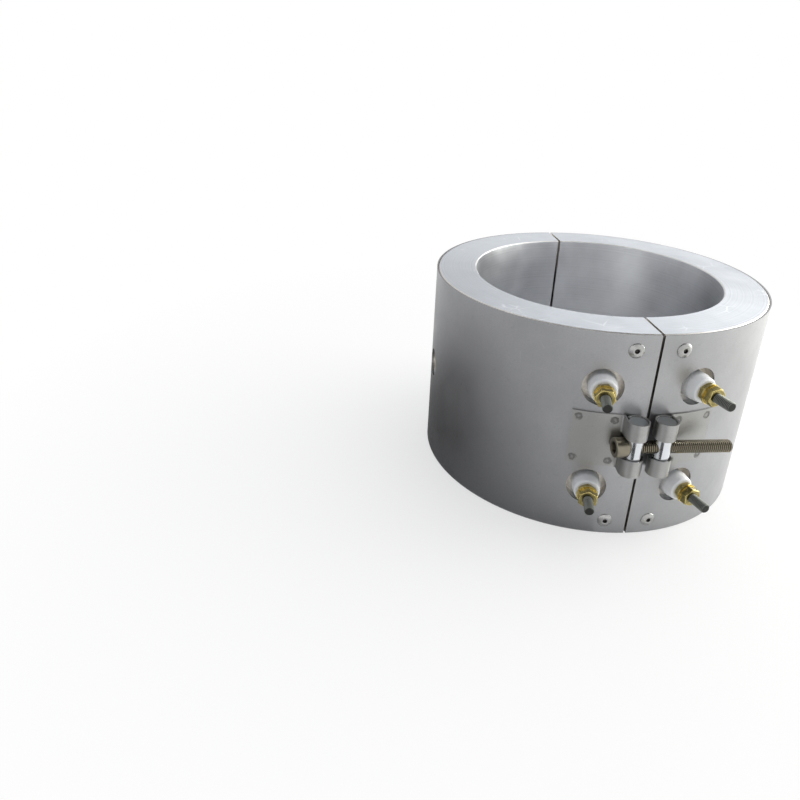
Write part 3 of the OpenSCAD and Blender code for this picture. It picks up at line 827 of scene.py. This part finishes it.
@dataclass
class Terminals(SubAssembly):
    """Ceramics, threaded studs, nuts and washers of the four terminals.

    A nut is given by the distance of its inner face from the bore axis, and its thickness. The threaded
    length of a stud starts inside the ceramic, and the plain length ends there, one within the other.
    """

    insulator_end: float = 119.8 * MM
    stud_end: float = 140.5 * MM
    stud: Thread = Thread(3 * MM, 1 * MM, 0.5 * MM)
    stud_chamfer: float = 0.7 * MM
    thread_sunk: float = 2 * MM
    pin_sunk: float = 1 * MM
    nut_af: float = 10.8 * MM
    nut_bore_r: float = 2.725 * MM
    nut_sink_r: float = 3.3 * MM
    nut_edge: float = 0.15 * MM
    nut_wear: float = 0.16 * MM
    inner_nut: Pair = (119.8 * MM, 3.2 * MM)
    outer_nut: Pair = (124 * MM, 5 * MM)
    nut_turn: float = 17
    ceramic: Finish = FiredCeramic()
    dulled: Finish = NutBrass()
    worn: Finish = NutBrass("worn_brass", (0.86, 0.70, 0.25), (0.55, 0.44, 0.17), 0.2, 0.4)
    washer_brass: Finish = NutBrass("bright_washer", (0.80, 0.66, 0.28), (0.5, 0.4, 0.16), 0.22, 0.4)
    steel: Finish = ThreadedSteel("stud_steel", (0.21, 0.22, 0.205), (0.05, 0.052, 0.047), 0.42, 0.85)

    def build(self) -> None:
        """Makes one terminal's pieces and copies them to the other three."""
        stud = self.make_stud()
        nuts = [(kind, base, self.make_nut(thickness)) for kind, (base, thickness)
                in (("inner_nut", self.inner_nut), ("outer_nut", self.outer_nut))]
        for side, level in product(Side, Level):
            place = f"{side.label}_{level.label}"
            where = self.ring.terminal(side, level)
            self.dress(f"insulator_{place}", self.ceramic)
            self.dress(f"washer_{place}", self.washer_brass)
            twin = Bench.copy(stud, f"threaded_stud_{place}", where)
            self.fit(self.with_pin(twin, side, place), twin.name, side.body, "terminal_steel",
                     f"stud_{place}")
            turn = self.nut_turn * (side.value + 1 + (level.value + 1) / 2)
            for times, (kind, base, master) in enumerate(nuts, 1):
                spin = Matrix.Rotation(math.radians(side.value * times * turn), 4, "Z")
                nut = Bench.copy(master, f"turned_{kind}_{place}",
                                 where @ Matrix.Translation((0, 0, base)) @ spin)
                self.fit(nut, nut.name, side.body, "nut_brass", f"{kind}_{place}")
        for master in (stud, *(nut for _, _, nut in nuts)):
            bpy.data.objects.remove(master)

    def make_stud(self) -> Piece:
        """Threaded end of a stud, from inside the ceramic to its tip."""
        bar = self.stud.bar(self.insulator_end - self.thread_sunk, self.stud_end, self.stud_chamfer)
        Bench.coat(bar, self.steel)
        Bench.smooth(bar, 35)
        return bar

    def with_pin(self, bar: Piece, side: Side, place: str) -> Piece:
        """Joins the inner length of the CAD stud to its threaded end.

        Args:
            bar: Threaded end, in its place.
            side: Half that the terminal is on.
            place: Side and level of the terminal, as the CAD nodes write them.

        Returns:
            The whole stud.
        """
        inner = Bench.copy(frame["nodes"][f"stud_{place}"], "inner_length")
        inner.hide_render = inner.hide_viewport = False
        Bench.weld(inner, 1e-6)
        angle = math.radians(side.value * self.ring.terminal_angle)
        out = Vector((math.sin(angle), -math.cos(angle), 0))
        with Bench.editing(inner):
            bpy.ops.mesh.bisect(plane_co=out * (self.insulator_end - self.pin_sunk), plane_no=out,
                                use_fill=True, clear_outer=True)
        Bench.coat(inner, self.steel)
        Bench.smooth(inner)
        Bench.join(bar, inner)
        return bar

    def make_nut(self, thickness: float) -> Piece:
        """Hexagon nut with turned-off corners and a countersunk thread.

        Args:
            thickness: Thickness of the nut.

        Returns:
            The nut, standing on the XY plane, with its worn edges on material index 1.
        """
        flat = self.nut_af / 2
        corner = flat / math.cos(math.radians(30))
        Bench.clear()
        bpy.ops.mesh.primitive_cylinder_add(vertices=6, radius=corner, depth=thickness,
                                            location=(0, 0, thickness / 2),
                                            rotation=(0, 0, math.radians(30)))
        nut = bpy.context.object
        bpy.ops.object.transform_apply(location=True, rotation=True, scale=True)
        Bench.coat(nut, self.dulled, self.worn)
        bevel = flat - self.nut_edge
        drop = (corner - bevel) / 2
        Bench.cut(nut, Bench.turned([(0, 0), (bevel, 0), (corner, drop), (corner, thickness - drop),
                                     (bevel, thickness), (0, thickness)], 72), Cut.KEEP)
        bore, wide = self.nut_bore_r, self.nut_sink_r + MM
        sink = self.nut_sink_r - bore
        Bench.cut(nut, Bench.turned([(0, -MM), (wide, -MM), (bore, sink), (bore, thickness - sink),
                                     (wide, thickness + MM), (0, thickness + MM)], 48), Cut.AWAY)
        Bench.weld(nut, 1e-6)
        Bench.round_edges(nut, self.nut_wear, 2, 25, finish=1)
        Bench.smooth(nut, 40)
        return nut


@dataclass
class Rivets(SubAssembly):
    """Blind rivets beside both seams."""

    head_r: float = 4.7 * MM
    head_h: float = 1.3 * MM
    hole_r: float = 1.35 * MM
    shank_r: float = 2.4 * MM
    shank: float = 9 * MM
    skin: Finish = PlainMetal("rivet_skin", (0.47, 0.47, 0.465), 0.24, 0.5)
    # Near-black finish down the hole: painted shade on the hole walls and on the mandrel's broken end.
    mandrel: Finish = PlainMetal("mandrel_break", (0.10, 0.095, 0.09), 0.5, 0.6)

    def build(self) -> None:
        """Makes one rivet and copies it to its eight places."""
        master = self.make_rivet()
        ring = self.ring
        middle = ring.height / 2
        out = Matrix.Translation((0, 0, ring.cover_r))
        seams = {"front": ring.rivet_angle, "rear": 180 - ring.rivet_angle}
        for side, level, (seam, angle) in product(Side, Level, seams.items()):
            height = middle + level.value * (middle - ring.rivet_end)
            node = f"rivet_{seam}_{side.label}_{level.label}"
            rivet = Bench.copy(master, f"blind_{node}", ring.outward(side.value * angle, height) @ out)
            self.fit(rivet, rivet.name, side.body, "rivet_metal", node)
        bpy.data.objects.remove(master)

    def make_rivet(self) -> Piece:
        """Rivet with a rimmed flange, the setting tool's ring and the broken mandrel down its hole."""
        top, hole, head = self.head_h, self.hole_r, self.head_r
        broken = [(0, -0.35 * MM), (0.5 * MM, -0.45 * MM), (1.0 * MM, -0.2 * MM), (hole, -0.4 * MM)]
        setting = [(hole, top - 0.45 * MM), (hole + 0.12 * MM, top - 0.22 * MM),
                   (hole + 0.45 * MM, top - 0.12 * MM), (hole + 0.75 * MM, top),
                   (hole + 1.15 * MM, top - 0.04 * MM)]
        dome = [(3.2 * MM, top - 0.30 * MM), (3.8 * MM, top - 0.55 * MM), (4.35 * MM, top - 0.86 * MM)]
        rim = [(head - 0.06 * MM, 0.24 * MM), (head, 0.12 * MM), (head - 0.05 * MM, 0)]
        shank = [(self.shank_r, 0), (self.shank_r, -self.shank), (0, -self.shank)]
        rivet = Bench.turned(broken + setting + dome + rim + shank, 40)
        Bench.coat(rivet, self.skin, self.mandrel)
        # Faces below the setting ring inside the hole take the near-black finish: painted shade down the
        # hole.
        for face in rivet.data.polygons:
            x, y, z = face.center
            deep = z < top - 0.3 * MM and math.hypot(x, y) < hole + 0.1 * MM
            face.material_index = 1 if deep else 0
        Bench.smooth(rivet, 32)
        return rivet


@dataclass
class Clamp(SubAssembly):
    """Rolled straps, cross-drilled barrels and the clamp screw."""

    axis_y: float = -120.262 * MM
    axis_z: float = 70 * MM
    seat_x: float = -13.5 * MM
    screw: Thread = Thread(4 * MM, 1.25 * MM, 0.68 * MM)
    screw_len: float = 65 * MM
    screw_lap: float = 0.5 * MM
    screw_chamfer: float = 1.2 * MM
    head_r: float = 6.2 * MM
    head_h: float = 7.6 * MM
    socket_af: float = 6 * MM
    socket_depth: float = 4 * MM
    socket_sink: Pair = (4.6 * MM, 2.9 * MM)
    faced_r: Pair = (4.3 * MM, 4.5 * MM)
    # Within this radius, the socket and its countersink, the head takes nearly the root colour: painted
    # shade in the socket.
    grime_r: float = 3.6 * MM
    strap: Finish = SatinSheet("rolled_strap", (0.46, 0.46, 0.455), 0.7, 0.33, 0.5)
    chrome: Finish = BrightPlate()
    steel: Finish = ThreadedSteel("browned_screw", (0.40, 0.365, 0.29), (0.07, 0.057, 0.04), 0.22)

    def build(self) -> None:
        """Dresses the straps and barrels, and makes the screw."""
        for side in Side:
            self.dress(f"clamp_strap_{side.label}", self.strap)
        self.dress("head_barrel", self.chrome)
        self.dress("nut_barrel", self.chrome)
        self.fit(self.make_screw(), "socket_screw", "screw_body", "screw_steel", "clamp_screw")

    def make_screw(self) -> Piece:
        """Socket head screw, drawn along +Z with its bearing face at zero and then laid along +X."""
        bar = self.screw.bar(-self.screw_lap, self.screw_len, self.screw_chamfer, 32)
        head = self.make_head()
        for piece in (bar, head):
            Bench.coat(piece, self.steel)
            Bench.smooth(piece, 35)
        Bench.join(bar, head)
        Bench.place(bar, Matrix.Translation((self.seat_x, self.axis_y, self.axis_z))
                    @ Matrix.Rotation(math.radians(90), 4, "Y"))
        return bar

    def make_head(self) -> Piece:
        """Head with a rounded rim, a faced ring and a hexagon socket."""
        r, end = self.head_r, -self.head_h
        faced = [(0, end + 0.12 * MM), (self.faced_r[0], end + 0.12 * MM), (self.faced_r[1], end)]
        rim = [(r - 0.9 * MM, end), (r - 0.5 * MM, end + 0.1 * MM), (r - 0.16 * MM, end + 0.38 * MM)]
        side = [(r, end + 0.85 * MM), (r, -0.35 * MM), (r - 0.12 * MM, -0.1 * MM)]
        head = Bench.turned([*faced, *rim, *side, (r - 0.35 * MM, 0), (0, 0)], 64)
        Bench.clear()
        corner = self.socket_af / 2 / math.cos(math.radians(30))
        bpy.ops.mesh.primitive_cylinder_add(vertices=6, radius=corner, depth=2 * self.socket_depth,
                                            location=(0, 0, end))
        Bench.cut(head, bpy.context.object, Cut.AWAY)
        wide, narrow = self.socket_sink
        low, high = end - MM, end + 0.6 * MM
        Bench.cut(head, Bench.turned([(0, low), (wide, low), (narrow, high), (0, high)]), Cut.AWAY)
        Bench.weld(head, 1e-6)
        Bench.round_edges(head, 0.1 * MM, 2, 40)
        # The head's sides take a colour part way to the root colour. The socket takes nearly the root
        # colour, as painted shade in it.
        Bench.mark(head, "crest", [0.5 if math.hypot(v.co.x, v.co.y) > self.grime_r else 0.15
                                   for v in head.data.vertices])
        return head


@dataclass(frozen=True)
class Plate:
    """Sheet plate on a cover, with a spot weld in each corner."""

    name: str
    first: float
    span: float
    height: float
    thickness: float


@dataclass
class SpotWelds(SubAssembly):
    """Spot weld marks, each in the shallow seat that the CAD gives it."""

    radius: float = 2.75 * MM
    cover_face: float = 113.55 * MM
    seat: float = 0.2 * MM
    inset: float = 4 * MM
    strap: Plate = Plate("strap", 7.956, 14.633, 36.5 * MM, 1 * MM)
    leaf: Plate = Plate("leaf", 159.816, 17.731, 70 * MM, 1.2 * MM)
    finish: Finish = WeldTint()

    def build(self) -> None:
        """Makes one mark and copies it to the corners of the straps and the hinge leaves."""
        master = self.make_mark()
        turn = math.degrees(self.inset / self.cover_face)
        for side, plate in product(Side, (self.strap, self.leaf)):
            out = Matrix.Translation((0, 0, self.cover_face + plate.thickness - self.seat))
            ends = {"near": plate.first + turn, "far": plate.first + plate.span - turn}
            for (end, angle), level in product(ends.items(), Level):
                height = self.ring.height / 2 + level.value * (plate.height / 2 - self.inset)
                mark = Bench.copy(master, f"weld_{plate.name}_{end}_{side.label}_{level.label}",
                                  self.ring.outward(side.value * angle, height) @ out)
                self.fit(mark, mark.name, side.body, "strap_sheet")
        bpy.data.objects.remove(master)

    def make_mark(self) -> Piece:
        """Shallow dish with a raised nugget and a squeezed-up ring, drawn along +Z."""
        r = self.radius
        mark = Bench.turned([
            (0, 0.09 * MM), (0.35 * r, 0.07 * MM), (0.5 * r, 0.03 * MM), (0.68 * r, 0.05 * MM),
            (0.82 * r, 0.13 * MM), (0.92 * r, 0.17 * MM), (0.985 * r, 0.14 * MM),
            (0.99 * r, 0.02 * MM), (0, 0.02 * MM)], 32)
        Bench.coat(mark, self.finish)
        Bench.mark(mark, "rim", [math.hypot(v.co.x, v.co.y) / r for v in mark.data.vertices])
        Bench.smooth(mark, 50)
        return mark


@dataclass
class Hinge(SubAssembly):
    """Rolled hinge leaves and the pin at the rear seam."""

    leaf: Finish = SatinSheet("rolled_leaf", (0.46, 0.46, 0.455), 0.7, 0.34, 0.5)
    pin: Finish = PlainMetal("drawn_pin", (0.45, 0.45, 0.46), 0.28)

    def build(self) -> None:
        """Dresses the CAD nodes, whose shapes are right as they are."""
        for side in Side:
            self.dress(f"hinge_leaf_{side.label}", self.leaf)
        self.dress("hinge_pin", self.pin)


# Studio


@dataclass
class Studio:
    """Camera, floor, world, lamps, and cards that paint shade into reflections only."""

    camera_at: Point = (-0.188247, -0.461149, 0.290537)
    right: Point = (0.997434, -0.066919, 0.025443)
    up: Point = (0.003655, 0.402532, 0.915399)
    lens: float = 30.9552
    shift: Pair = (0.021872, -0.07446)
    # Middle of the floor shadow that the reflection-only cards paint, and the distances over which it
    # fades out.
    darkest: Point = (-0.2, 0.02, 0.0)
    fade: Pair = (0.06, 0.22)
    target: Point = (0, 0, 0.07)

    def camera(self) -> None:
        """Sets the camera at the photograph's angle."""
        data = bpy.data.cameras.new("camera")
        data.sensor_width, data.lens = 36, self.lens
        data.shift_x, data.shift_y = self.shift
        data.clip_start, data.clip_end = 0.01, 50
        right, up = Vector(self.right), Vector(self.up)
        turn = Matrix((right, up, right.cross(up))).transposed().to_4x4()
        camera = bpy.data.objects.new("camera", data)
        camera.matrix_world = Matrix.Translation(self.camera_at) @ turn
        bpy.context.scene.collection.objects.link(camera)
        bpy.context.scene.camera = camera

    def world(self) -> None:
        """Lights evenly from above, and shows plain white to the camera and in reflections."""
        bpy.context.scene.world = bpy.data.worlds.new("studio")
        w = Wiring(bpy.context.scene.world, "ShaderNodeBackground", "ShaderNodeOutputWorld")
        rays = w.add("ShaderNodeLightPath").outputs
        seen = w.sum("MAXIMUM", rays["Is Camera Ray"], rays["Is Glossy Ray"])
        seen = w.sum("MAXIMUM", seen, rays["Is Transmission Ray"])
        w.feed("Color", w.blend(seen, (0.93, 0.96, 1.0), (1.0, 1.0, 1.0)))
        w.feed("Strength", w.limits(seen, 0.0, 1.0, 0.5, 1.0))

    def floor(self) -> None:
        """Lays a pale floor that fades into the white background by glowing white, and whose glow turns
        warmer towards the right in reflections only: a painted warm light.
        """
        Bench.clear()
        bpy.ops.mesh.primitive_plane_add(size=12, location=(0, 0, 0))
        floor = bpy.context.object
        floor.name = "floor"
        w = Wiring.material("pale_floor", 0.8, 0.0)
        w.feed("Base Color", (0.82, 0.82, 0.82))
        w.feed("Specular IOR Level", 0.1)
        rays = w.add("ShaderNodeLightPath").outputs
        mirrored = w.sum("MAXIMUM", rays["Is Glossy Ray"], rays["Is Transmission Ray"])
        radius = w.radius()
        to_camera = w.times(rays["Is Camera Ray"], w.limits(radius, 0.1, 0.5, 0.6, 1.0))
        to_mirror = w.times(mirrored, w.limits(radius, 0.15, 1.1))
        # Painted warm light: only in reflections, the floor's glow turns warm towards +X.
        painted_warm_glow = w.times(mirrored, w.limits(w.split(w.place)[0], -0.1, 0.15))
        white = w.node("ShaderNodeEmission", 0, {
            "Color": w.blend(painted_warm_glow, (1.0, 1.0, 1.0), (1.0, 0.995, 0.94))})
        mixed = w.node("ShaderNodeMixShader", 0, {
            0: w.plus(to_camera, to_mirror), 1: w.shader.outputs[0], 2: white})
        w.join(mixed, w.output.inputs["Surface"])
        floor.data.materials.append(w.owner)

    def card(self, name: str, size: Pair, at: Point,
             facing: Point, middle: float, edge: float) -> None:
        """Sets a grey card that only reflections show, as a studio's flags do, though it lights and
        shades nothing: it paints shade into the reflections.

        Args:
            name: Name of the card.
            size: Width and height.
            at: Place of its middle.
            facing: Place that it faces.
            middle: Grey level at the middle of the painted floor shadow, where the card is darkest.
            edge: Grey level away from it.
        """
        Bench.clear()
        bpy.ops.mesh.primitive_plane_add(size=1, location=at)
        card = bpy.context.object
        card.name = name
        card.scale = (*size, 1)
        card.rotation_euler = (Vector(facing) - Vector(at)).to_track_quat("Z", "Y").to_euler()
        w = Wiring.material(name, 0.9, 0.0)
        away = w.node("ShaderNodeVectorMath", "Value", {
            0: w.node("ShaderNodeNewGeometry", "Position"), 1: self.darkest}, operation="DISTANCE")
        # Painted shadow: the card darkens towards the shadow's middle, standing in the reflections for
        # the heater's shadow on the floor.
        w.feed("Base Color", w.limits(away, *self.fade, middle, edge))
        card.data.materials.append(w.owner)
        card.visible_camera = card.visible_diffuse = card.visible_shadow = False

    def sun(self, name: str, azimuth: float, elevation: float, spread: float, strength: float,
            colour: Colour = (1, 1, 1)) -> None:
        """Hangs a soft distant lamp, which lights the whole floor evenly.

        Args:
            name: Name of the lamp.
            azimuth: Degrees from the back towards the right that its light comes from.
            elevation: Degrees above the floor that its light comes from.
            spread: Apparent size in degrees, which softens its shadows.
            strength: Strength of its light.
            colour: Colour of its light.
        """
        data = bpy.data.lights.new(name, "SUN")
        data.energy, data.color, data.angle = strength, colour, math.radians(spread)
        lamp = bpy.data.objects.new(name, data)
        turn, rise = math.radians(azimuth), math.radians(elevation)
        level = math.cos(rise)
        source = Vector((math.sin(turn) * level, math.cos(turn) * level, math.sin(rise)))
        lamp.rotation_euler = source.to_track_quat("Z", "Y").to_euler()
        bpy.context.scene.collection.objects.link(lamp)

    def lamp(self, name: str, at: Point, size: Pair, power: float,
             colour: Colour = (1, 1, 1)) -> None:
        """Hangs a soft lamp that faces the heater.

        Args:
            name: Name of the lamp.
            at: Its place.
            size: Width and height.
            power: Power in watts.
            colour: Colour of its light.
        """
        data = bpy.data.lights.new(name, "AREA")
        data.shape = "RECTANGLE"
        data.size, data.size_y = size
        data.energy, data.color = power, colour
        lamp = bpy.data.objects.new(name, data)
        lamp.location = at
        to_target = Vector(self.target) - Vector(at)
        lamp.rotation_euler = to_target.to_track_quat("-Z", "Y").to_euler()
        bpy.context.scene.collection.objects.link(lamp)

    def build(self) -> None:
        """Sets the whole studio up."""
        self.camera()
        self.world()
        self.floor()
        self.sun("key", 64, 48, 90, 1.95, (1.0, 0.985, 0.96))
        self.lamp("side", (0.9, 0.1, 0.3), (0.8, 0.4), 9, (1.0, 1.0, 0.92))
        # Painted shadow, seen only in reflections: a flat card on the floor at the left, darkest beside
        # the heater.
        self.card("flag_left", (0.54, 0.95), (-0.29, -0.08, 0.001), (-0.29, -0.08, 1.0), 0.06, 0.6)
        # Painted dark reflection: a small near-black card on the floor at the front, seen only in the
        # chrome barrels and other reflections.
        self.card("flag_front", (0.082, 0.045), (-0.051, -0.235, 0.002), (-0.051, -0.235, 1.0),
                  0.02, 0.02)
        # Painted dark reflection above the front, darkening the metal's reflections of the space over the
        # camera.
        self.card("flag_above", (1.5, 0.7), (0.0, -0.45, 0.85), self.target, 0.02, 0.02)
        bpy.context.scene.view_settings.view_transform = "Standard"


def main() -> None:
    logging.basicConfig(level=logging.INFO, format="%(name)s %(message)s")
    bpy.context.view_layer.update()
    Studio().build()
    for assembly in (Halves(), Terminals(), Rivets(), Clamp(), SpotWelds(), Hinge()):
        LOG.info("building %s", type(assembly).__name__)
        assembly.build()


if __name__ == "__main__":
    main()
